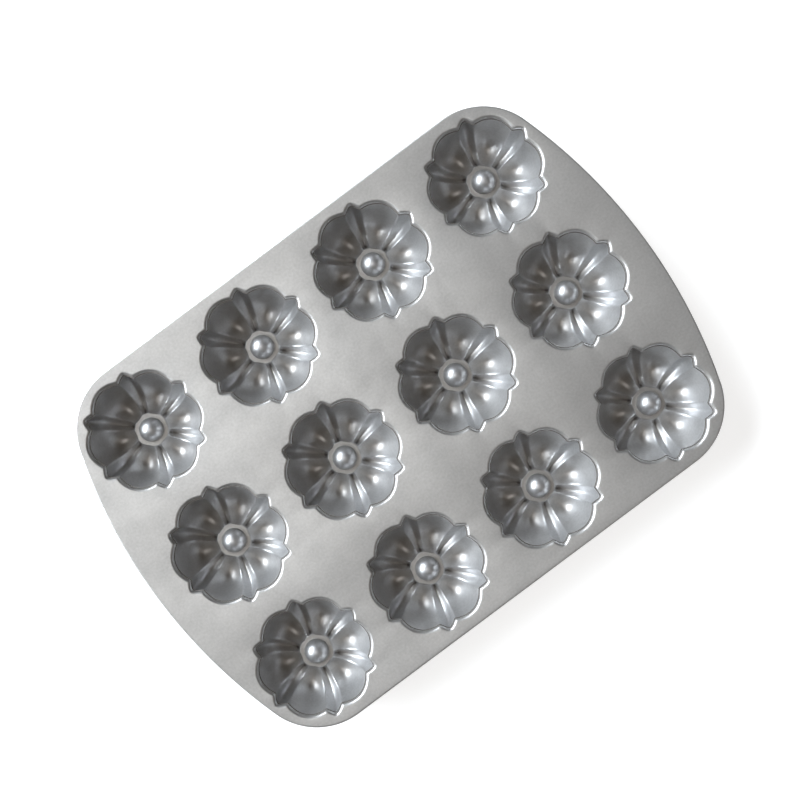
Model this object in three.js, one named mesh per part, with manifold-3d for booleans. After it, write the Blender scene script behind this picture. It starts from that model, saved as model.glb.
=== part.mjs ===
// Fluted tube pan: one flat deck with twelve fluted mouths, and twelve fluted cups that hang under it.
// Millimetres, +Z up, +X along the pan. The origin is under the middle of the pan, where its cups rest.

import * as THREE from "three";
import { mergeVertices } from "three/addons/utils/BufferGeometryUtils.js";
import Module from "manifold-3d";

const wasm = await Module();
wasm.setup();

// The grid of cups, and the bare metal left between and around their mouths
const CUPS_ALONG = 4;
const CUPS_ACROSS = 3;
const LAND_BETWEEN_MOUTHS = 11.2;
const LAND_AT_ENDS = 18.2;
const LAND_AT_SIDES = 6;
const LAND_AT_CORNERS = 5.3;

// The deck
const DECK_THICKNESS = 3;
const DECK_EDGE_ROUNDING = 1.2;
const END_BOW_RADIUS = 351;
const MOUTH_ROUNDING = 2.2;
const MOUTH_LEDGE = 0.5;

// A cup's mouth, at the seam under the deck
const CUP_DEPTH = 24.5;
const WALL = 3;
const FLOOR_THICKNESS = 3;
const LOBE_MOUTH_RADIUS = 37.3;
const RIDGE_SET_IN = 3.3;
const GROOVE_OVERREACH = 0.6;

// Six lobes with a pointed groove between each two; a sharp ridge runs down each side of a groove
const FLUTES = 6;
const FLUTE_TURN = THREE.MathUtils.degToRad(15);
const GROOVE_SPREAD_AT_RING = THREE.MathUtils.degToRad(10.2);
const GROOVE_SPREAD_AT_MOUTH = THREE.MathUtils.degToRad(8.5);

// The nub in the middle of a cup's floor, and the raised ring round it
const NUB_RADIUS = 8.1;
const NUB_HEIGHT = 9;
const RING_WIDTH = 1.6;
const RING_BEVEL = 1.2;
const RING_RISE = 5.6;

// Where the lobes, ridges and grooves start beside the ring, as rises above the lobes' lowest points
const LOBE_START_RISE = 4.8;
const RIDGE_START_RISE = 5.3;
const GROOVE_START_RISE = 3;
const GROOVE_START_GAP = 1.2;

// How the lobes' floor and walls bend: runs are level and climbs are upright
const LOBE_FLOOR_RUN = 9.7;
const LOBE_INNER_EASE = 4.1;
const LOBE_OUTER_EASE = 8.2;
const LOBE_START_EASE = 3;
const LOBE_START_DIP = 2.6;
const WALL_LEAN = 4.5;
const WALL_CLIMB = 12.5;

// How the ridges and the grooves bend, in the same way
const RIDGE_INNER_EASE = 7.5;
const RIDGE_INNER_DIP = 5;
const RIDGE_LEAN = 1.7;
const RIDGE_CLIMB = 19;
const GROOVE_INNER_EASE = 8;
const GROOVE_INNER_DIP = 3.6;
const GROOVE_LEAN = 1.2;
const GROOVE_CLIMB = 21;

// The underside of a cup: a flat foot, and a hollow under the nub
const FOOT_WIDTH = 11;
const FOOT_INSET = 3.3;
const HOLLOW_HEIGHT = 13;
const HOLLOW_SHOULDER_RADIUS = 6;
const HOLLOW_SHOULDER_HEIGHT = 6;

// How finely the round shapes are cut into flats
const LOBE_STEPS = 4;
const CORNER_STEPS = 6;
const BOW_STEPS = 6;
const ROUNDING_STEPS = 2;
const CUT_OVERRUN = 1;

// Shares of the way from the ring to the mouth: rows of points, and where a lobe is lowest
const LOW_POINT_SHARE = 0.33;
const HOLLOW_ROW_SHARES = [0, 0.33, 0.55, 0.78, 1];
const OUTSIDE_ROW_SHARES = [1, 0.8, 0.6];

// Sizes that follow from the ones above
const seamHeight = FLOOR_THICKNESS + CUP_DEPTH;
const deckTop = seamHeight + DECK_THICKNESS;
const mouthRadius = LOBE_MOUTH_RADIUS + MOUTH_LEDGE + MOUTH_ROUNDING;
const cupPitch = 2 * mouthRadius + LAND_BETWEEN_MOUTHS;
const panLength = (CUPS_ALONG - 1) * cupPitch + 2 * (mouthRadius + LAND_AT_ENDS);
const panWidth = (CUPS_ACROSS - 1) * cupPitch + 2 * (mouthRadius + LAND_AT_SIDES);
const cornerRadius = mouthRadius + LAND_AT_CORNERS;
const ringRadius = NUB_RADIUS + RING_WIDTH;
const ringFootRadius = ringRadius + RING_BEVEL;
const lobeLowRadius = ringFootRadius + LOBE_FLOOR_RUN;
const footInnerRadius = ringRadius + FOOT_INSET;
const fluteAngle = (2 * Math.PI) / FLUTES;

// A curve in a cup's upright half plane, through a start and an end with one handle at each
function bend(start, startHandle, endHandle, end) {
  const points = [start, startHandle, endHandle, end].map(([out, up]) => new THREE.Vector2(out, up));
  return new THREE.CubicBezierCurve(...points);
}

const lobeFloor = bend(
  [ringFootRadius, LOBE_START_RISE],
  [ringFootRadius + LOBE_START_EASE, LOBE_START_RISE - LOBE_START_DIP],
  [lobeLowRadius - LOBE_INNER_EASE, 0],
  [lobeLowRadius, 0],
);
const lobeWall = bend(
  [lobeLowRadius, 0],
  [lobeLowRadius + LOBE_OUTER_EASE, 0],
  [LOBE_MOUTH_RADIUS - WALL_LEAN, CUP_DEPTH - WALL_CLIMB],
  [LOBE_MOUTH_RADIUS, CUP_DEPTH],
);
const ridgeMouthRadius = LOBE_MOUTH_RADIUS - RIDGE_SET_IN;
const ridgeLine = bend(
  [ringFootRadius, RIDGE_START_RISE],
  [ringFootRadius + RIDGE_INNER_EASE, RIDGE_START_RISE - RIDGE_INNER_DIP],
  [ridgeMouthRadius - RIDGE_LEAN, CUP_DEPTH - RIDGE_CLIMB],
  [ridgeMouthRadius, CUP_DEPTH],
);
const grooveStartRadius = ringFootRadius + GROOVE_START_GAP;
const grooveMouthRadius = LOBE_MOUTH_RADIUS + GROOVE_OVERREACH;
const grooveLine = bend(
  [grooveStartRadius, GROOVE_START_RISE],
  [grooveStartRadius + GROOVE_INNER_EASE, GROOVE_START_RISE - GROOVE_INNER_DIP],
  [grooveMouthRadius - GROOVE_LEAN, CUP_DEPTH - GROOVE_CLIMB],
  [grooveMouthRadius, CUP_DEPTH],
);

// The columns of points round a cup: the bottom of each groove, then from ridge to ridge across the next lobe
const columns = [];
for (let flute = 0; flute < FLUTES; flute += 1) {
  columns.push({ flute, inGroove: true, across: 0 });
  for (let step = 0; step <= LOBE_STEPS; step += 1) {
    columns.push({ flute, inGroove: false, across: step / LOBE_STEPS });
  }
}

function columnAngle(column, share) {
  const grooveAngle = FLUTE_TURN + column.flute * fluteAngle;
  if (column.inGroove) return grooveAngle;
  const spread = THREE.MathUtils.lerp(GROOVE_SPREAD_AT_RING, GROOVE_SPREAD_AT_MOUTH, share);
  return grooveAngle + spread + (fluteAngle - 2 * spread) * column.across;
}

function lobeSection(share) {
  if (share < LOW_POINT_SHARE) return lobeFloor.getPoint(share / LOW_POINT_SHARE);
  return lobeWall.getPoint((share - LOW_POINT_SHARE) / (1 - LOW_POINT_SHARE));
}

// The hollow's surface in one column, as a radius and a rise above the lobes' lowest points
function hollowSection(column, share) {
  if (column.inGroove) return grooveLine.getPoint(share);
  return ridgeLine.getPoint(share).lerp(lobeSection(share), Math.sin(Math.PI * column.across));
}

function pointAt(angle, radius, height) {
  return new THREE.Vector3(radius * Math.cos(angle), radius * Math.sin(angle), height);
}

function roundRow(radius, height) {
  return columns.map((column) => pointAt(columnAngle(column, 0), radius, height));
}

function hollowRow(share) {
  return columns.map((column) => {
    const section = hollowSection(column, share);
    return pointAt(columnAngle(column, share), section.x, FLOOR_THICKNESS + section.y);
  });
}

// The outside follows the hollow at one wall's distance, straight out at the mouth and straight down at the floor
function outsideRow(share) {
  const lean = (Math.PI / 2) * (1 - (share - LOW_POINT_SHARE) / (1 - LOW_POINT_SHARE));
  return columns.map((column) => {
    const section = hollowSection(column, share);
    const radius = section.x + WALL * Math.cos(lean);
    const height = FLOOR_THICKNESS + section.y - WALL * Math.sin(lean);
    return pointAt(columnAngle(column, share), radius, height);
  });
}

// A closed skin over rows of points, each row lying outside or below the one before, with a pole at each end
function skin(topPole, rows, bottomPole) {
  const count = columns.length;
  const points = [topPole, ...rows.flat(), bottomPole];
  const last = points.length - 1;
  const at = (row, column) => 1 + row * count + (column % count);
  const faces = [];
  for (let column = 0; column < count; column += 1) {
    faces.push(0, at(0, column), at(0, column + 1));
    for (let row = 0; row + 1 < rows.length; row += 1) {
      faces.push(at(row, column), at(row + 1, column), at(row + 1, column + 1));
      faces.push(at(row, column), at(row + 1, column + 1), at(row, column + 1));
    }
    faces.push(last, at(rows.length - 1, column + 1), at(rows.length - 1, column));
  }
  const geometry = new THREE.BufferGeometry().setFromPoints(points);
  geometry.setIndex(faces);
  geometry.computeVertexNormals();
  return geometry;
}

// One cup: down over the nub and the ring, out along the hollow, over the rim and back under to the middle
function cupGeometry() {
  const ringTop = FLOOR_THICKNESS + RING_RISE;
  const nubShoulder = Math.PI / 4;
  const rows = [
    roundRow(NUB_RADIUS * Math.sin(nubShoulder), ringTop + NUB_HEIGHT * Math.cos(nubShoulder)),
    roundRow(NUB_RADIUS, ringTop),
    roundRow(ringRadius, ringTop),
    ...HOLLOW_ROW_SHARES.map(hollowRow),
    ...OUTSIDE_ROW_SHARES.map(outsideRow),
    roundRow(footInnerRadius + FOOT_WIDTH, 0),
    roundRow(footInnerRadius, 0),
    roundRow(HOLLOW_SHOULDER_RADIUS, HOLLOW_SHOULDER_HEIGHT),
  ];
  return skin(pointAt(0, 0, ringTop + NUB_HEIGHT), rows, pointAt(0, 0, HOLLOW_HEIGHT));
}

// The deck's outline: straight sides, bowed ends, and a round corner that runs smoothly into both
function deckOutline() {
  const bowCentre = panLength / 2 - END_BOW_RADIUS;
  const cornerCentreY = panWidth / 2 - cornerRadius;
  const reach = END_BOW_RADIUS - cornerRadius;
  const bowAngle = Math.asin(cornerCentreY / reach);
  const cornerCentreX = bowCentre + reach * Math.cos(bowAngle);
  const outline = [];
  const arc = (centreX, centreY, radius, from, to, steps) => {
    for (let step = 0; step < steps; step += 1) {
      const angle = THREE.MathUtils.lerp(from, to, step / steps);
      outline.push(new THREE.Vector2(centreX + radius * Math.cos(angle), centreY + radius * Math.sin(angle)));
    }
  };
  const end = (side) => {
    const turn = side > 0 ? 0 : Math.PI;
    arc(side * cornerCentreX, -side * cornerCentreY, cornerRadius, turn - Math.PI / 2, turn - bowAngle, CORNER_STEPS);
    arc(side * bowCentre, 0, END_BOW_RADIUS, turn - bowAngle, turn + bowAngle, BOW_STEPS);
    arc(side * cornerCentreX, side * cornerCentreY, cornerRadius, turn + bowAngle, turn + Math.PI / 2, CORNER_STEPS);
    outline.push(new THREE.Vector2(side * cornerCentreX, (side * panWidth) / 2));
  };
  end(1);
  end(-1);
  return new THREE.Shape(outline);
}

// The plug that cuts one mouth: the cup's rim set out by the ledge, flaring into the rounding at the top
function mouthPlug() {
  const plugRow = (setOut, height) => columns.map((column) => {
    const section = hollowSection(column, 1);
    return pointAt(columnAngle(column, 1), section.x + MOUTH_LEDGE + setOut, height);
  });
  const rows = [plugRow(MOUTH_ROUNDING, deckTop + CUT_OVERRUN)];
  for (let step = 0; step <= ROUNDING_STEPS; step += 1) {
    const angle = ((Math.PI / 2) * step) / ROUNDING_STEPS;
    const setOut = MOUTH_ROUNDING * (1 - Math.sin(angle));
    rows.push(plugRow(setOut, deckTop - MOUTH_ROUNDING * (1 - Math.cos(angle))));
  }
  rows.push(plugRow(0, seamHeight - CUT_OVERRUN));
  return skin(pointAt(0, 0, deckTop + CUT_OVERRUN), rows, pointAt(0, 0, seamHeight - CUT_OVERRUN));
}

function toSolid(geometry) {
  const bare = geometry.clone();
  bare.deleteAttribute("normal");
  bare.deleteAttribute("uv");
  const merged = mergeVertices(bare);
  const mesh = new wasm.Mesh({
    numProp: 3,
    vertProperties: new Float32Array(merged.attributes.position.array),
    triVerts: new Uint32Array(merged.index.array),
  });
  return new wasm.Manifold(mesh);
}

function toGeometry(solid) {
  const mesh = solid.getMesh();
  const geometry = new THREE.BufferGeometry();
  geometry.setAttribute("position", new THREE.BufferAttribute(mesh.vertProperties, mesh.numProp));
  geometry.setIndex(new THREE.BufferAttribute(mesh.triVerts, 1));
  geometry.computeVertexNormals();
  return geometry;
}

// The middle of each cup, row by row from -Y to +Y and along each row from -X to +X
const cupPlaces = [];
for (let row = 0; row < CUPS_ACROSS; row += 1) {
  for (let column = 0; column < CUPS_ALONG; column += 1) {
    cupPlaces.push({
      name: `cup_r${row + 1}_c${column + 1}`,
      x: (column - (CUPS_ALONG - 1) / 2) * cupPitch,
      y: (row - (CUPS_ACROSS - 1) / 2) * cupPitch,
    });
  }
}

function deckGeometry() {
  const blank = new THREE.ExtrudeGeometry(deckOutline(), {
    depth: DECK_THICKNESS - 2 * DECK_EDGE_ROUNDING,
    bevelThickness: DECK_EDGE_ROUNDING,
    bevelSize: DECK_EDGE_ROUNDING,
    bevelOffset: -DECK_EDGE_ROUNDING,
    bevelSegments: ROUNDING_STEPS,
  });
  blank.translate(0, 0, seamHeight + DECK_EDGE_ROUNDING);
  const plug = toSolid(mouthPlug());
  let deck = toSolid(blank);
  for (const place of cupPlaces) deck = deck.subtract(plug.translate([place.x, place.y, 0]));
  return toGeometry(deck);
}

const deckMetal = new THREE.MeshStandardMaterial({ color: 0xb2b1ae, roughness: 0.45, metalness: 0.85 });
const cupMetal = new THREE.MeshStandardMaterial({ color: 0x9c9a96, roughness: 0.35, metalness: 0.9 });

const pan = new THREE.Group();

const deck = new THREE.Mesh(deckGeometry(), deckMetal);
deck.name = "deck";
pan.add(deck);

for (const place of cupPlaces) {
  const cup = new THREE.Mesh(cupGeometry(), cupMetal);
  cup.name = place.name;
  cup.position.set(place.x, place.y, 0);
  pan.add(cup);
}

export default pan;
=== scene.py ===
import math

import bmesh
import bpy
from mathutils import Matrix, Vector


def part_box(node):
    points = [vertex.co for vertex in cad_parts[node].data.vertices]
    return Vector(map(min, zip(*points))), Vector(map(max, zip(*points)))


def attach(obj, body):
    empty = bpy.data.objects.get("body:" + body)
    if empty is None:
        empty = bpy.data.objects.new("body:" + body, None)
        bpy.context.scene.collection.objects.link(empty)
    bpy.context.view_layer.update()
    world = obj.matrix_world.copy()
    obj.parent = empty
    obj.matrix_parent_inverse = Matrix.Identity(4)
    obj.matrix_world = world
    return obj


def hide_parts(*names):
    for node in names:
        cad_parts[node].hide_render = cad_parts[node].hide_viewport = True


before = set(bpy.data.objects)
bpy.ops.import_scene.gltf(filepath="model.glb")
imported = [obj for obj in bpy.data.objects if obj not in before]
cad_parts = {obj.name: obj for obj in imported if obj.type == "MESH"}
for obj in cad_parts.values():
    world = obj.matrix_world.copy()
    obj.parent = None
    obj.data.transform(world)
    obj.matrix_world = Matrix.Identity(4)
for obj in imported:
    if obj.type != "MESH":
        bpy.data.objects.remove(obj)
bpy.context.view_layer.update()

# The twelve cups. Each is a fluted bowl of thin cast aluminium: six round lobes, a pointed groove between
# each two with a ridge down either side, and a round nub on a raised ring in its middle. It stands on a
# flat foot, it is hollow under its nub, and its rim is held under the deck all round its mouth.

MM = 0.001
TURN = math.tau
CUPS_ALONG = 4
CUPS_ACROSS = 3
FLUTES = 6
cup_pitch = 91.2 * MM
columns_per_flute = 40
merge_distance = 0.001 * MM

mouth_sizes = {
    "Lobe radius": 37.3 * MM,
    "Ridge set in": 3.3 * MM,
    "Groove overreach": 0.6 * MM,
    "Flute turn": math.radians(15),
    "Groove spread at mouth": math.radians(8.5),
    "Valley rounding share": 0.2,
    "Ridge rounding": 0.07,
}

cup_sizes = {
    **mouth_sizes,
    "Groove spread at ring": math.radians(11),
    "Cup depth": 24.5 * MM,
    "Floor thickness": 3 * MM,
    "Wall": 3 * MM,
    "Nub radius": 8.1 * MM,
    "Nub height": 9 * MM,
    "Ring rise": 5.6 * MM,
    "Ring step radius": 8.9 * MM,
    "Ring step width": 0.5 * MM,
    "Ring step height": 0.08 * MM,
    "Ring edge radius": 11 * MM,
    "Ring edge set in at lobes": 0.7 * MM,
    "Lobe start ease": 3.1 * MM,
    "Lobe start dip": 3.6 * MM,
    "Lobe inner ease": 5 * MM,
    "Lobe low radius": 20.6 * MM,
    "Lobe low share": 0.36,
    "Lobe outer ease": 9.4 * MM,
    "Wall lean": 4.5 * MM,
    "Wall climb": 12.5 * MM,
    "Ridge inner ease": 7.5 * MM,
    "Ridge inner dip": 5.2 * MM,
    "Ridge lean": 1.7 * MM,
    "Ridge climb": 19 * MM,
    "Groove start gap": 1.2 * MM,
    "Groove start rise": 1.6 * MM,
    "Groove end share": 0.06,
    "Groove inner ease": 8 * MM,
    "Groove inner dip": 1.8 * MM,
    "Groove lean": 1.2 * MM,
    "Groove climb": 21 * MM,
    "Outside lean": 1.6 * MM,
    "Outside climb": 13 * MM,
    "Foot ease": 8 * MM,
    "Foot inner radius": 13 * MM,
    "Foot outer radius": 24 * MM,
    "Hollow ease": 5 * MM,
    "Hollow shoulder radius": 6 * MM,
    "Hollow height": 13 * MM,
}

cup_rows = {"nub": 16, "ring": 18, "hollow": 80, "rim": 2, "outside": 36, "sole": 4, "under": 14}


class Wire:
    """A node's socket that can stand in a sum: each operator adds the Math node that it means."""

    def __init__(self, tree, socket=None):
        self.tree = tree
        self.socket = socket

    def node(self, kind, settings=(), sockets=()):
        """Adds a node, its settings, and its sockets' values or links, and gives its first live output."""
        made = self.tree.nodes.new(kind)
        for name, value in dict(settings).items():
            setattr(made, name, value)
        for name, value in dict(sockets).items():
            entry = made.inputs[name]
            for part in value if isinstance(value, list) else [value]:
                if isinstance(part, Wire):
                    self.tree.links.new(part.socket, entry)
                else:
                    entry.default_value = part
        return Wire(self.tree, next((out for out in made.outputs if out.enabled), None))

    def out(self, name):
        return Wire(self.tree, self.socket.node.outputs[name])

    def math(self, operation, *values):
        return self.node("ShaderNodeMath", {"operation": operation}, dict(enumerate(values)))

    def __add__(self, other):
        return self.math("ADD", self, other)

    def __radd__(self, other):
        return self.math("ADD", other, self)

    def __sub__(self, other):
        return self.math("SUBTRACT", self, other)

    def __rsub__(self, other):
        return self.math("SUBTRACT", other, self)

    def __mul__(self, other):
        return self.math("MULTIPLY", self, other)

    def __rmul__(self, other):
        return self.math("MULTIPLY", other, self)

    def __truediv__(self, other):
        return self.math("DIVIDE", self, other)

    def __rtruediv__(self, other):
        return self.math("DIVIDE", other, self)

    def __pow__(self, other):
        return self.math("POWER", self, other)


def sine(angle):
    return angle.math("SINE", angle)


def cosine(angle):
    return angle.math("COSINE", angle)


def root(square):
    return square.math("SQRT", square)


def between(start, end, share):
    return start + (end - start) * share


def smooth_step(value, start, end):
    """Rises smoothly from 0 at the start to 1 at the end, which may be the lower of the two."""
    return value.node(
        "ShaderNodeMapRange",
        {"interpolation_type": "SMOOTHSTEP"},
        {"Value": value, "From Min": start, "From Max": end},
    )


def new_shape_tree(name, sizes):
    """A Geometry Nodes tree with one input for each named size, and the wires of those inputs."""
    tree = bpy.data.node_groups.new(name, "GeometryNodeTree")
    tree.interface.new_socket("Geometry", in_out="OUTPUT", socket_type="NodeSocketGeometry")
    for size in sizes:
        tree.interface.new_socket(size, in_out="INPUT", socket_type="NodeSocketFloat")
    given = Wire(tree).node("NodeGroupInput")
    return tree, {size: given.out(size) for size in sizes}


def made_mesh(name, tree, sizes):
    """Sets the tree's inputs on a modifier, and turns what it makes into a plain mesh."""
    blank = bpy.data.objects.new(name, bpy.data.meshes.new(name))
    bpy.context.scene.collection.objects.link(blank)
    modifier = blank.modifiers.new(name, "NODES")
    modifier.node_group = tree
    for entry in tree.interface.items_tree:
        if entry.in_out == "INPUT":
            modifier[entry.identifier] = sizes[entry.name]
    graph = bpy.context.evaluated_depsgraph_get()
    mesh = bpy.data.meshes.new_from_object(blank.evaluated_get(graph))
    mesh.name = name
    blank.modifiers.remove(modifier)
    bpy.data.objects.remove(blank)
    return mesh


def turn_out(mesh):
    """Turns every face of a closed skin outwards, and leaves its points and its creases as they are."""
    skin = bmesh.new()
    skin.from_mesh(mesh)
    bmesh.ops.recalc_face_normals(skin, faces=skin.faces)
    skin.to_mesh(mesh)
    skin.free()


def strip_shares(tree):
    """How far a point of a strip is round the cup, and how far it is along the strip's rows."""
    half_strip = 0.5
    place = Wire(tree).node("GeometryNodeInputPosition")
    x = place.node("ShaderNodeSeparateXYZ", sockets={"Vector": place})
    return x + half_strip, x.out("Y") + half_strip


def flute_angle(size, around):
    """The angle of a column: columns crowd towards the grooves, where the surface bends most."""
    crowding = 0.62
    in_flutes = around * FLUTES
    crowded = in_flutes - crowding / TURN * sine(in_flutes * TURN)
    return crowded * (TURN / FLUTES) + size["Flute turn"]


def angle_off_groove(size, around):
    """The angle between a column and the middle of the nearest groove."""
    angle = flute_angle(size, around) - size["Flute turn"]
    return angle.math("PINGPONG", angle, TURN / FLUTES / 2)


def fluted(size, around, spread, groove, ridge, lobe):
    """A value that runs from the groove's bottom up to the ridge and down again over the lobe."""
    groove_to_lobe = 0.06
    off_groove = angle_off_groove(size, around)
    across = (off_groove - spread) / (TURN / FLUTES - 2 * spread)
    rounding = spread * size["Valley rounding share"]
    valley_depth = root(off_groove * off_groove + rounding * rounding) - rounding
    rim_depth = root(spread * spread + rounding * rounding) - rounding
    up_groove = valley_depth / rim_depth
    up_lobe = 1 - sine(across * math.pi)
    ridge_share = across.math("SMOOTH_MIN", up_groove, up_lobe, size["Ridge rounding"] * 2)
    on_lobe = smooth_step(off_groove / spread, 1 - groove_to_lobe, 1 + groove_to_lobe)
    return between(between(groove, lobe, on_lobe), ridge, ridge_share)


def bend(share, start, start_handle, end_handle, end):
    """A cubic curve's value at a share of its way."""
    left = 1 - share
    return (
        start * left * left * left
        + start_handle * (3 * left * left * share)
        + end_handle * (3 * left * share * share)
        + end * share * share * share
    )


def band(field, rows, angle, radius, height):
    """A strip of faces round the cup's axis, with each point at its angle, radius and height."""
    columns = FLUTES * columns_per_flute
    strip = field.node(
        "GeometryNodeMeshGrid",
        sockets={"Size X": 1.0, "Size Y": 1.0, "Vertices X": columns + 1, "Vertices Y": rows + 1},
    )
    place = field.node(
        "ShaderNodeCombineXYZ",
        sockets={"X": radius * cosine(angle), "Y": radius * sine(angle), "Z": height},
    )
    return field.node("GeometryNodeSetPosition", sockets={"Geometry": strip, "Position": place})


def closed(field, strips, material):
    """Joins strips edge to edge into one closed skin, and gives it its material."""
    joined = field.node("GeometryNodeJoinGeometry", sockets={"Geometry": strips})
    merged = field.node(
        "GeometryNodeMergeByDistance", sockets={"Geometry": joined, "Distance": merge_distance}
    )
    real = field.node("GeometryNodeRealizeInstances", sockets={"Geometry": merged})
    finished = field.node("GeometryNodeSetMaterial", sockets={"Geometry": real, "Material": material})
    field.node("NodeGroupOutput", sockets={"Geometry": finished})


def cup_tree(material):
    """A cup's closed skin in seven strips, from the top of its nub round to the hollow under it."""
    tree, size = new_shape_tree("cup shape", cup_sizes)
    around, along = strip_shares(tree)
    angle = flute_angle(size, around)
    ground = 0.0
    axis = 0.0
    floor = size["Floor thickness"]
    depth = size["Cup depth"]
    rim_top = floor + depth
    ring_top = floor + size["Ring rise"]

    # The nub, from its top down to the ring
    polar = along * (TURN / 4)
    nub_radius = size["Nub radius"] * sine(polar)
    nub_height = ring_top + size["Nub height"] * cosine(polar)
    nub = band(along, cup_rows["nub"], angle, nub_radius, nub_height)

    # The ring's two flats with the small step between them
    ring_spread = size["Groove spread at ring"]
    edge = size["Ring edge radius"]
    lobe_edge = edge - size["Ring edge set in at lobes"]
    edge_radius = fluted(size, around, ring_spread, edge, edge, lobe_edge)
    flat_radius = between(size["Nub radius"], edge_radius, along)
    half_step = size["Ring step width"] / 2
    step_radius = size["Ring step radius"]
    down_step = smooth_step(flat_radius, step_radius - half_step, step_radius + half_step)
    ring_height = ring_top - size["Ring step height"] * down_step
    ring = band(along, cup_rows["ring"], angle, flat_radius, ring_height)

    # A lobe's middle line, from the ring's edge down to its lowest point and up the wall to the mouth
    rise = size["Ring rise"] - size["Ring step height"]
    lobe_mouth = size["Lobe radius"]
    low_radius = size["Lobe low radius"]
    low_share = size["Lobe low share"]
    on_wall = along.math("GREATER_THAN", along, low_share)
    floor_share = along.math("MINIMUM", along / low_share, 1.0)
    wall_share = along.math("MAXIMUM", (along - low_share) / (1 - low_share), 0.0)
    lobe_start_ease = lobe_edge + size["Lobe start ease"]
    lobe_inner_ease = low_radius - size["Lobe inner ease"]
    lobe_outer_ease = low_radius + size["Lobe outer ease"]
    wall_lean = lobe_mouth - size["Wall lean"]
    lobe_radius = between(
        bend(floor_share, lobe_edge, lobe_start_ease, lobe_inner_ease, low_radius),
        bend(wall_share, low_radius, lobe_outer_ease, wall_lean, lobe_mouth),
        on_wall,
    )
    lobe_rise = between(
        bend(floor_share, rise, rise - size["Lobe start dip"], 0.0, 0.0),
        bend(wall_share, 0.0, 0.0, depth - size["Wall climb"], depth),
        on_wall,
    )

    # A ridge's line, and a groove's, which starts just past the ring's edge and below it
    ridge_mouth = lobe_mouth - size["Ridge set in"]
    ridge_radius = bend(
        along, edge, edge + size["Ridge inner ease"], ridge_mouth - size["Ridge lean"], ridge_mouth
    )
    ridge_rise = bend(along, rise, rise - size["Ridge inner dip"], depth - size["Ridge climb"], depth)
    groove_mouth = lobe_mouth + size["Groove overreach"]
    start_gap = size["Groove start gap"]
    groove_start = edge + start_gap
    groove_ease = groove_start + size["Groove inner ease"]
    groove_lean = groove_mouth - size["Groove lean"]
    start_rise = size["Groove start rise"]
    groove_dip = start_rise - size["Groove inner dip"]
    above_start = 1 - smooth_step(along, 0.0, size["Groove end share"])
    clear_radius = bend(along, groove_start, groove_ease, groove_lean, groove_mouth)
    clear_rise = bend(along, start_rise, groove_dip, depth - size["Groove climb"], depth)
    groove_radius = clear_radius - start_gap * above_start
    groove_rise = clear_rise + (rise - start_rise) * above_start

    # The hollow, blended round the cup from those three lines
    mouth_spread = size["Groove spread at mouth"]
    spread = between(ring_spread, mouth_spread, along)
    hollow_radius = fluted(size, around, spread, groove_radius, ridge_radius, lobe_radius)
    hollow_rise = fluted(size, around, spread, groove_rise, ridge_rise, lobe_rise)
    hollow = band(along, cup_rows["hollow"], angle, hollow_radius, floor + hollow_rise)

    # The rim's flat top, and the outside down to the foot
    mouth = fluted(size, around, mouth_spread, groove_mouth, ridge_mouth, lobe_mouth)
    rim = band(along, cup_rows["rim"], angle, mouth + size["Wall"] * along, rim_top)
    foot = size["Foot outer radius"]
    outer_mouth = mouth + size["Wall"]
    outer_lean = outer_mouth - size["Outside lean"]
    outer_radius = bend(along, outer_mouth, outer_lean, foot + size["Foot ease"], foot)
    outer_height = bend(along, rim_top, rim_top - size["Outside climb"], ground, ground)
    outside = band(along, cup_rows["outside"], angle, outer_radius, outer_height)

    # The flat foot, and the hollow under the nub
    foot_inner = size["Foot inner radius"]
    sole = band(along, cup_rows["sole"], angle, between(foot, foot_inner, along), ground)
    shoulder = size["Hollow shoulder radius"]
    hollow_top = size["Hollow height"]
    under_radius = bend(along, foot_inner, foot_inner - size["Hollow ease"], shoulder, axis)
    under_height = bend(along, ground, ground, hollow_top, hollow_top)
    under = band(along, cup_rows["under"], angle, under_radius, under_height)

    closed(along, [nub, ring, hollow, rim, outside, sole, under], material)
    return tree


def mixed(share, first, second):
    """A colour between two. A Mix node's sockets share their names, so they are given by number."""
    factor = 0
    first_colour = 6
    second_colour = 7
    settings = {"data_type": "RGBA", "clamp_factor": True}
    sockets = {factor: share, first_colour: first, second_colour: second}
    return share.node("ShaderNodeMix", settings, sockets)


def noise(place, scale, detail):
    """A noise about nought, from its scale in lumps to the metre."""
    mean = 0.5
    sockets = {"Vector": place, "Scale": scale, "Detail": detail}
    return place.node("ShaderNodeTexNoise", sockets=sockets) - mean


def cast_metal(name, colour, roughness):
    """Dull cast aluminium: fine grain in its tone and surface, and wider patches in its tone and gloss."""
    shade = (0.2, 0.19, 0.18, 1)
    shade_share = 0.25
    grain_in_shade = 0.38
    patches_in_shade = 0.4
    grain_in_gloss = 0.08
    patches_in_gloss = 0.12
    grain_scale = 620.0
    grain_detail = 3.0
    grain_height = 0.02 * MM
    grain_strength = 0.35
    patch_scale = 48.0
    patch_detail = 4.0
    metal_share = 0.83

    material = bpy.data.materials.new(name)
    material.use_nodes = True
    material.node_tree.nodes.clear()
    place = Wire(material.node_tree).node("ShaderNodeTexCoord").out("Object")
    grain = noise(place, grain_scale, grain_detail)
    patches = noise(place, patch_scale, patch_detail)
    shaded = mixed(
        grain * grain_in_shade + patches * patches_in_shade + shade_share, colour(place), shade
    )
    gloss = roughness + patches * patches_in_gloss + grain * grain_in_gloss
    bump_sockets = {"Strength": grain_strength, "Distance": grain_height, "Height": grain}
    bump = place.node("ShaderNodeBump", sockets=bump_sockets)
    surface = place.node(
        "ShaderNodeBsdfPrincipled",
        sockets={"Base Color": shaded, "Metallic": metal_share, "Roughness": gloss, "Normal": bump},
    )
    surface.node("ShaderNodeOutputMaterial", sockets={"Surface": surface})
    return material


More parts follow.
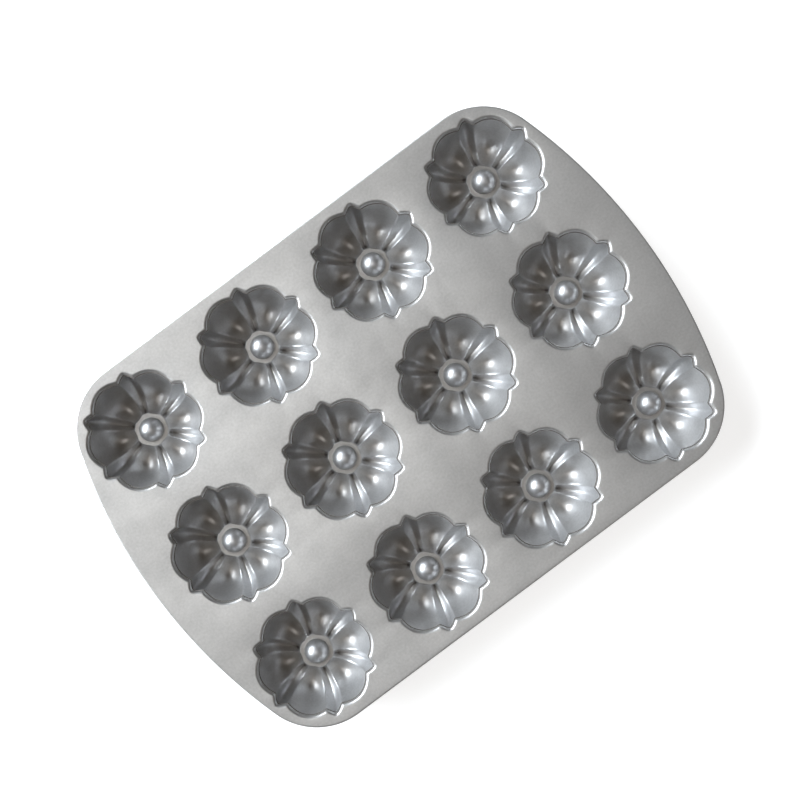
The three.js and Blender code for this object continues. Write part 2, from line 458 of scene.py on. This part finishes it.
def cup_tone(place):
    """Clean walls, a darker ring, painted shade on the floor and in the grooves over real residue at their
    ends, and a dark seam.
    """
    clean_wall = (0.6, 0.605, 0.615, 1)
    # Painted shade: a darker, browner grey for the cup's floor.
    floor_painted_shade = (0.48, 0.463, 0.446, 1)
    # The ring's top is a darker grey.
    ring_darker_grey = (0.44, 0.43, 0.42, 1)
    # Painted shade in the grooves' recesses near the floor, over real brown residue at their inner ends.
    groove_shade_and_residue = (0.25, 0.238, 0.226, 1)
    seam_shade = (0.2, 0.19, 0.18, 1)
    wall_heights = (3 * MM, 9 * MM)
    seam_heights = (27.2 * MM, 27.4 * MM)
    ring_inner_radii = (7.6 * MM, 8.4 * MM)
    ring_outer_radii = (11.6 * MM, 10.4 * MM)
    groove_inner_radii = (11.2 * MM, 12.2 * MM)
    groove_outer_radii = (21 * MM, 14 * MM)
    groove_half_widths = (1.2 * MM, 0.2 * MM)
    above_foot_heights = (2.6 * MM, 3 * MM)

    x = place.node("ShaderNodeSeparateXYZ", sockets={"Vector": place})
    y = x.out("Y")
    height = x.out("Z")
    half_pitch = cup_pitch / 2
    off_x = x.math("WRAP", x + half_pitch, half_pitch, -half_pitch)
    off_y = y.math("WRAP", y, half_pitch, -half_pitch)
    off_axis = root(off_x * off_x + off_y * off_y)
    on_ring = smooth_step(off_axis, *ring_outer_radii) * smooth_step(off_axis, *ring_inner_radii)
    turned = x.math("ARCTAN2", off_y, off_x) - cup_sizes["Flute turn"]
    off_groove = x.math("PINGPONG", turned, TURN / FLUTES / 2) * off_axis
    in_groove = smooth_step(off_groove, *groove_half_widths) * smooth_step(off_axis, *groove_outer_radii)
    past_ring = smooth_step(off_axis, *groove_inner_radii) * smooth_step(height, *above_foot_heights)
    # The floor gets darker towards the bottom, as painted shade.
    with_floor_shade = mixed(smooth_step(height, *wall_heights), floor_painted_shade, clean_wall)
    ringed = mixed(on_ring, with_floor_shade, ring_darker_grey)
    # The grooves near the floor are darkened: painted shade, over real residue at their inner ends.
    with_groove_shade = mixed(in_groove * past_ring, ringed, groove_shade_and_residue)
    return mixed(smooth_step(height, *seam_heights), with_groove_shade, seam_shade)


cup_roughness = 0.44
cup_crease = math.radians(55)
cup_metal = cast_metal("cup_metal", cup_tone, cup_roughness)
cup_mesh = made_mesh("cup", cup_tree(cup_metal), cup_sizes)
cup_mesh.shade_smooth()
cup_mesh.set_sharp_from_angle(angle=cup_crease)
turn_out(cup_mesh)

for row in range(CUPS_ACROSS):
    for column in range(CUPS_ALONG):
        name = f"cup_r{row + 1}_c{column + 1}"
        mesh = cup_mesh.copy()
        for vertex in mesh.vertices:
            vertex.co.x += (column - (CUPS_ALONG - 1) / 2) * cup_pitch
            vertex.co.y += (row - (CUPS_ACROSS - 1) / 2) * cup_pitch
        cup = bpy.data.objects.new("fine_" + name, mesh)
        bpy.context.scene.collection.objects.link(cup)
        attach(cup, "root")
        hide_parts(name)

# The deck, one flat plate of the same metal with straight sides, bowed ends and round corners. It is cast
# or pressed, with its outer edge rounded and twelve fluted mouths whose upper edge rolls over into them.
# A ledge half a millimetre wide is left between each mouth and the rim of the cup held under it.

deck_low, deck_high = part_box("deck")

deck_sizes = {
    **mouth_sizes,
    "Half length": deck_high.x,
    "Half width": deck_high.y,
    "Top": deck_high.z,
    "Underside": deck_low.z,
    "End bow radius": 351 * MM,
    "Corner radius": 45.3 * MM,
    "Edge rounding": 1.2 * MM,
    "Mouth rounding": 2.2 * MM,
    "Mouth ledge": 0.5 * MM,
    "Cup pitch": cup_pitch,
}


def set_out_mouth(size, around, set_out):
    """The radius of a mouth's outline after it is set out squarely into the deck all round."""
    corner_rounding = 0.5 * MM
    off_groove = angle_off_groove(size, around)
    spread = size["Groove spread at mouth"]
    lobe = size["Lobe radius"]
    ridge = lobe - size["Ridge set in"]
    tip = lobe + size["Groove overreach"]

    slope = (tip - ridge) / spread
    lengthening = root(1 + (slope / tip) ** 2)
    rounding = spread * size["Valley rounding share"] + (lengthening - 1) * set_out / slope
    fall = root(off_groove ** 2 + rounding ** 2) - rounding
    whole_fall = root(spread ** 2 + rounding ** 2) - rounding
    flank = between(tip + set_out, ridge + lengthening * set_out, fall / whole_fall)

    width = TURN / FLUTES - 2 * spread
    across = (off_groove - spread) / width * math.pi
    bulge = lobe - ridge
    lobe_slope = bulge * cosine(across) * math.pi / width / lobe
    lobe_side = ridge + bulge * sine(across) + set_out * root(1 + lobe_slope ** 2)
    return flank.math("SMOOTH_MAX", flank, lobe_side, corner_rounding)


def deck_outline(size, around, inset):
    """The place on the plate's outline whose edge faces a share of a turn, drawn in by an inset."""
    facing = around * TURN
    along = cosine(facing)
    across = sine(facing)
    corner = size["Corner radius"]
    bow = size["End bow radius"]
    bow_centre = size["Half length"] - bow
    corner_y = size["Half width"] - corner
    bow_height = corner_y / (bow - corner)
    corner_x = bow_centre + (bow - corner) * root(1 - bow_height ** 2)
    on_corner = across.math("GREATER_THAN", across.math("ABSOLUTE", across), bow_height)
    radius = between(bow, corner, on_corner) - inset
    x = along.math("SIGN", along) * between(bow_centre, corner_x, on_corner) + radius * along
    y = across.math("SIGN", across) * (corner_y * on_corner) + radius * across
    return x, y


def ring_curve(field, count, x, y):
    """A closed flat curve through a number of points."""
    circle = field.node("GeometryNodeCurvePrimitiveCircle", sockets={"Resolution": count, "Radius": 1.0})
    place = field.node("ShaderNodeCombineXYZ", sockets={"X": x, "Y": y, "Z": 0.0})
    return field.node("GeometryNodeSetPosition", sockets={"Geometry": circle, "Position": place})


def deck_tree(material):
    """The deck's closed skin: its outer edge, twelve mouths, and a pierced flat on either side."""
    tree, size = new_shape_tree("deck shape", deck_sizes)
    around, along = strip_shares(tree)
    top = size["Top"]
    underside = size["Underside"]
    edge_points = 240
    edge_rows = 16
    edge_steepness = 20
    mouth_points = FLUTES * columns_per_flute
    mouth_rows = 12
    rolled_rows = 10

    # Where the twelve cups hang
    places = around.node(
        "GeometryNodeMeshGrid",
        sockets={
            "Size X": (CUPS_ALONG - 1) * size["Cup pitch"],
            "Size Y": (CUPS_ACROSS - 1) * size["Cup pitch"],
            "Vertices X": CUPS_ALONG,
            "Vertices Y": CUPS_ACROSS,
        },
    )

    def at_each_cup(shape):
        copies = shape.node("GeometryNodeInstanceOnPoints", sockets={"Points": places, "Instance": shape})
        return shape.node("GeometryNodeRealizeInstances", sockets={"Geometry": copies})

    # The outer edge, rolled over from the top to the underside, straight in its middle
    rounding = size["Edge rounding"]
    middle = (top + underside) / 2
    straight = (top - underside) / 2 - rounding
    roll = TURN / 4 - along * (TURN / 2)
    rolled = sine(roll)
    half_step = 1 / edge_points / 2
    x, y = deck_outline(size, around + half_step, rounding * (1 - cosine(roll)))
    strip = along.node(
        "GeometryNodeMeshGrid",
        sockets={
            "Size X": 1.0,
            "Size Y": 1.0,
            "Vertices X": edge_points + 1,
            "Vertices Y": edge_rows + 1,
        },
    )
    below_top = rolled.math("MINIMUM", rolled * edge_steepness, 1.0)
    off_middle = rolled.math("MAXIMUM", below_top, -1.0)
    height = middle + rounding * rolled + straight * off_middle
    place = along.node("ShaderNodeCombineXYZ", sockets={"X": x, "Y": y, "Z": height})
    edge = along.node("GeometryNodeSetPosition", sockets={"Geometry": strip, "Position": place})

    # A mouth's rounding, from the top down to the ledge, and its straight last row down to the underside
    turned = along.math("MINIMUM", along * (mouth_rows / rolled_rows), 1.0) * (TURN / 4)
    on_straight = along.math("GREATER_THAN", along, 1 - 1 / mouth_rows / 2)
    mouth_rounding = size["Mouth rounding"]
    ledge = size["Mouth ledge"]
    set_out = ledge + mouth_rounding * (1 - sine(turned))
    roll_height = top - mouth_rounding * (1 - cosine(turned))
    mouth_angle = flute_angle(size, around)
    mouth_radius = set_out_mouth(size, around, set_out)
    mouth_height = between(roll_height, underside, on_straight)
    mouth = at_each_cup(band(along, mouth_rows, mouth_angle, mouth_radius, mouth_height))

    # The flat top and the flat underside, each pierced by the twelve mouths
    index = Wire(tree).node("GeometryNodeInputIndex")
    x, y = deck_outline(size, index / edge_points + half_step, rounding)
    outline = ring_curve(index, edge_points, x, y)
    flats = []
    for height, set_out in ((top, ledge + mouth_rounding), (underside, ledge)):
        share = index / mouth_points
        angle = flute_angle(size, share)
        radius = set_out_mouth(size, share, set_out)
        hole = at_each_cup(ring_curve(index, mouth_points, radius * cosine(angle), radius * sine(angle)))
        curves = index.node("GeometryNodeJoinGeometry", sockets={"Geometry": [outline, hole]})
        flat = index.node("GeometryNodeFillCurve", {"mode": "TRIANGLES"}, {"Curve": curves})
        lift = index.node("ShaderNodeCombineXYZ", sockets={"X": 0.0, "Y": 0.0, "Z": height})
        flats.append(index.node("GeometryNodeSetPosition", sockets={"Geometry": flat, "Offset": lift}))
    flat_top, flat_underside = flats
    turned_down = index.node("GeometryNodeFlipFaces", sockets={"Mesh": flat_underside})

    closed(along, [edge, mouth, flat_top, turned_down], material)
    return tree


def deck_tone(place):
    """The deck is one clean grey all over."""
    return (0.57, 0.57, 0.57, 1)


deck_roughness = 0.4
deck_crease = math.radians(40)
deck_metal = cast_metal("deck_metal", deck_tone, deck_roughness)
deck_mesh = made_mesh("deck", deck_tree(deck_metal), deck_sizes)
deck_mesh.shade_smooth()

# The rows of the outer edge are wound against the two flats until the faces are turned out, so the
# outline between them is marked as a crease here, and it stays one.
deck_mesh.set_sharp_from_angle(angle=deck_crease)
turn_out(deck_mesh)
fine_deck = bpy.data.objects.new("fine_deck", deck_mesh)
bpy.context.scene.collection.objects.link(fine_deck)
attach(fine_deck, "root")
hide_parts("deck")

# The studio: a plain pale floor that the pan stands on, painted white and lit a little from within, so
# that it shows as clean as paper. It is no part of the pan.

floor_reach = 3.0
floor_grey = (0.6, 0.6, 0.6, 1)
floor_white = (1, 1, 1, 1)
floor_glow = 0.7
floor_corners = [
    (-floor_reach, -floor_reach, 0),
    (floor_reach, -floor_reach, 0),
    (floor_reach, floor_reach, 0),
    (-floor_reach, floor_reach, 0),
]
floor_mesh = bpy.data.meshes.new("floor")
floor_mesh.from_pydata(floor_corners, [], [(0, 1, 2, 3)])
floor = bpy.data.objects.new("floor", floor_mesh)
bpy.context.scene.collection.objects.link(floor)
floor_paint = bpy.data.materials.new("floor_paint")
floor_paint.use_nodes = True
floor_surface = floor_paint.node_tree.nodes["Principled BSDF"]
floor_surface.inputs["Base Color"].default_value = floor_grey
floor_surface.inputs["Roughness"].default_value = 1.0
floor_surface.inputs["Specular IOR Level"].default_value = 0.0
floor_surface.inputs["Emission Color"].default_value = floor_white
floor_surface.inputs["Emission Strength"].default_value = floor_glow
floor_mesh.materials.append(floor_paint)

# The view from straight above, with the pan turned in the picture as it is in the photograph and a
# little off its middle.

film_width = 36
view_turn = math.radians(-36.73)
view_distance = 774 * MM
view_width = 514.2 * MM
view_x = 6.41 * MM
view_y = 8.72 * MM
view_data = bpy.data.cameras.new("view")
view_data.sensor_width = film_width
view_data.lens = film_width * view_distance / view_width
view = bpy.data.objects.new("view", view_data)
view.location = (view_x, view_y, deck_high.z + view_distance)
view.rotation_euler = (0, 0, view_turn)
bpy.context.scene.collection.objects.link(view)
bpy.context.scene.camera = view

# The light: a strong soft window low on the picture's left, a wide soft light overhead and a weak one
# opposite the window, in a room that is pale on the window's side and dark brown on the other. Each
# azimuth is turned from the picture's right, and each lean is off straight up.

level = TURN / 4
left_azimuth = TURN / 2
window_azimuth = math.radians(165)
window_elevation = math.radians(30)
window_half_width = math.radians(34)
window_half_height = math.radians(12)
window_edge = math.radians(7)
window_colour = (14.6, 15.7, 16.7, 1)
top_lean = math.radians(12)
top_reach = math.radians(23)
top_core = math.radians(3)
top_colour = (2.8, 2.75, 2.65, 1)
fill_azimuth = math.radians(-30)
fill_lean = math.radians(38)
fill_reach = math.radians(24)
fill_core = math.radians(6)
fill_colour = (0.6, 0.55, 0.5, 1)
wall_turn = (0.05, 0.95)
dark_wall = (0.03, 0.022, 0.015, 1)
pale_wall = (2.2, 2.1, 1.95, 1)
wall_top = (0.15, 0.35)
ceiling = (0.045, 0.032, 0.022, 1)

world = bpy.data.worlds.new("studio")
world.use_nodes = True
world.node_tree.nodes.clear()
look = Wire(world.node_tree).node("ShaderNodeTexCoord")
look_height = look.node("ShaderNodeSeparateXYZ", sockets={"Vector": look}).out("Z")


def toward(azimuth, lean):
    """How far the look goes toward a direction, from -1 to 1."""
    turned = azimuth + view_turn
    aside = math.sin(lean)
    direction = (math.cos(turned) * aside, math.sin(turned) * aside, math.cos(lean))
    return look.node("ShaderNodeVectorMath", {"operation": "DOT_PRODUCT"}, {0: look, 1: direction})


def angle_from(azimuth, lean):
    """The angle between the look and a direction."""
    return look.math("ARCCOSINE", toward(azimuth, lean))


walls = mixed(smooth_step(toward(left_azimuth, level), *wall_turn), dark_wall, pale_wall)
room = mixed(smooth_step(look_height, *wall_top), walls, ceiling)
fill = smooth_step(angle_from(fill_azimuth, fill_lean), fill_reach, fill_core)
with_fill = mixed(fill, room, fill_colour)
top = smooth_step(angle_from(left_azimuth, top_lean), top_reach, top_core)
with_top = mixed(top, with_fill, top_colour)
beside_window = toward(window_azimuth + TURN / 4, level)
ahead_of_window = toward(window_azimuth, level)
off_side = look.math("ABSOLUTE", look.math("ARCTAN2", beside_window, ahead_of_window))
off_height = look.math("ABSOLUTE", look.math("ARCSINE", look_height) - window_elevation)
in_width = smooth_step(off_side, window_half_width + window_edge, window_half_width - window_edge)
in_height = smooth_step(off_height, window_half_height + window_edge, window_half_height - window_edge)
lit_room = mixed(in_width * in_height, with_top, window_colour)
background = look.node("ShaderNodeBackground", sockets={"Color": lit_room})
look.node("ShaderNodeOutputWorld", sockets={"Surface": background})
bpy.context.scene.world = world
bpy.context.scene.view_settings.view_transform = "Standard"
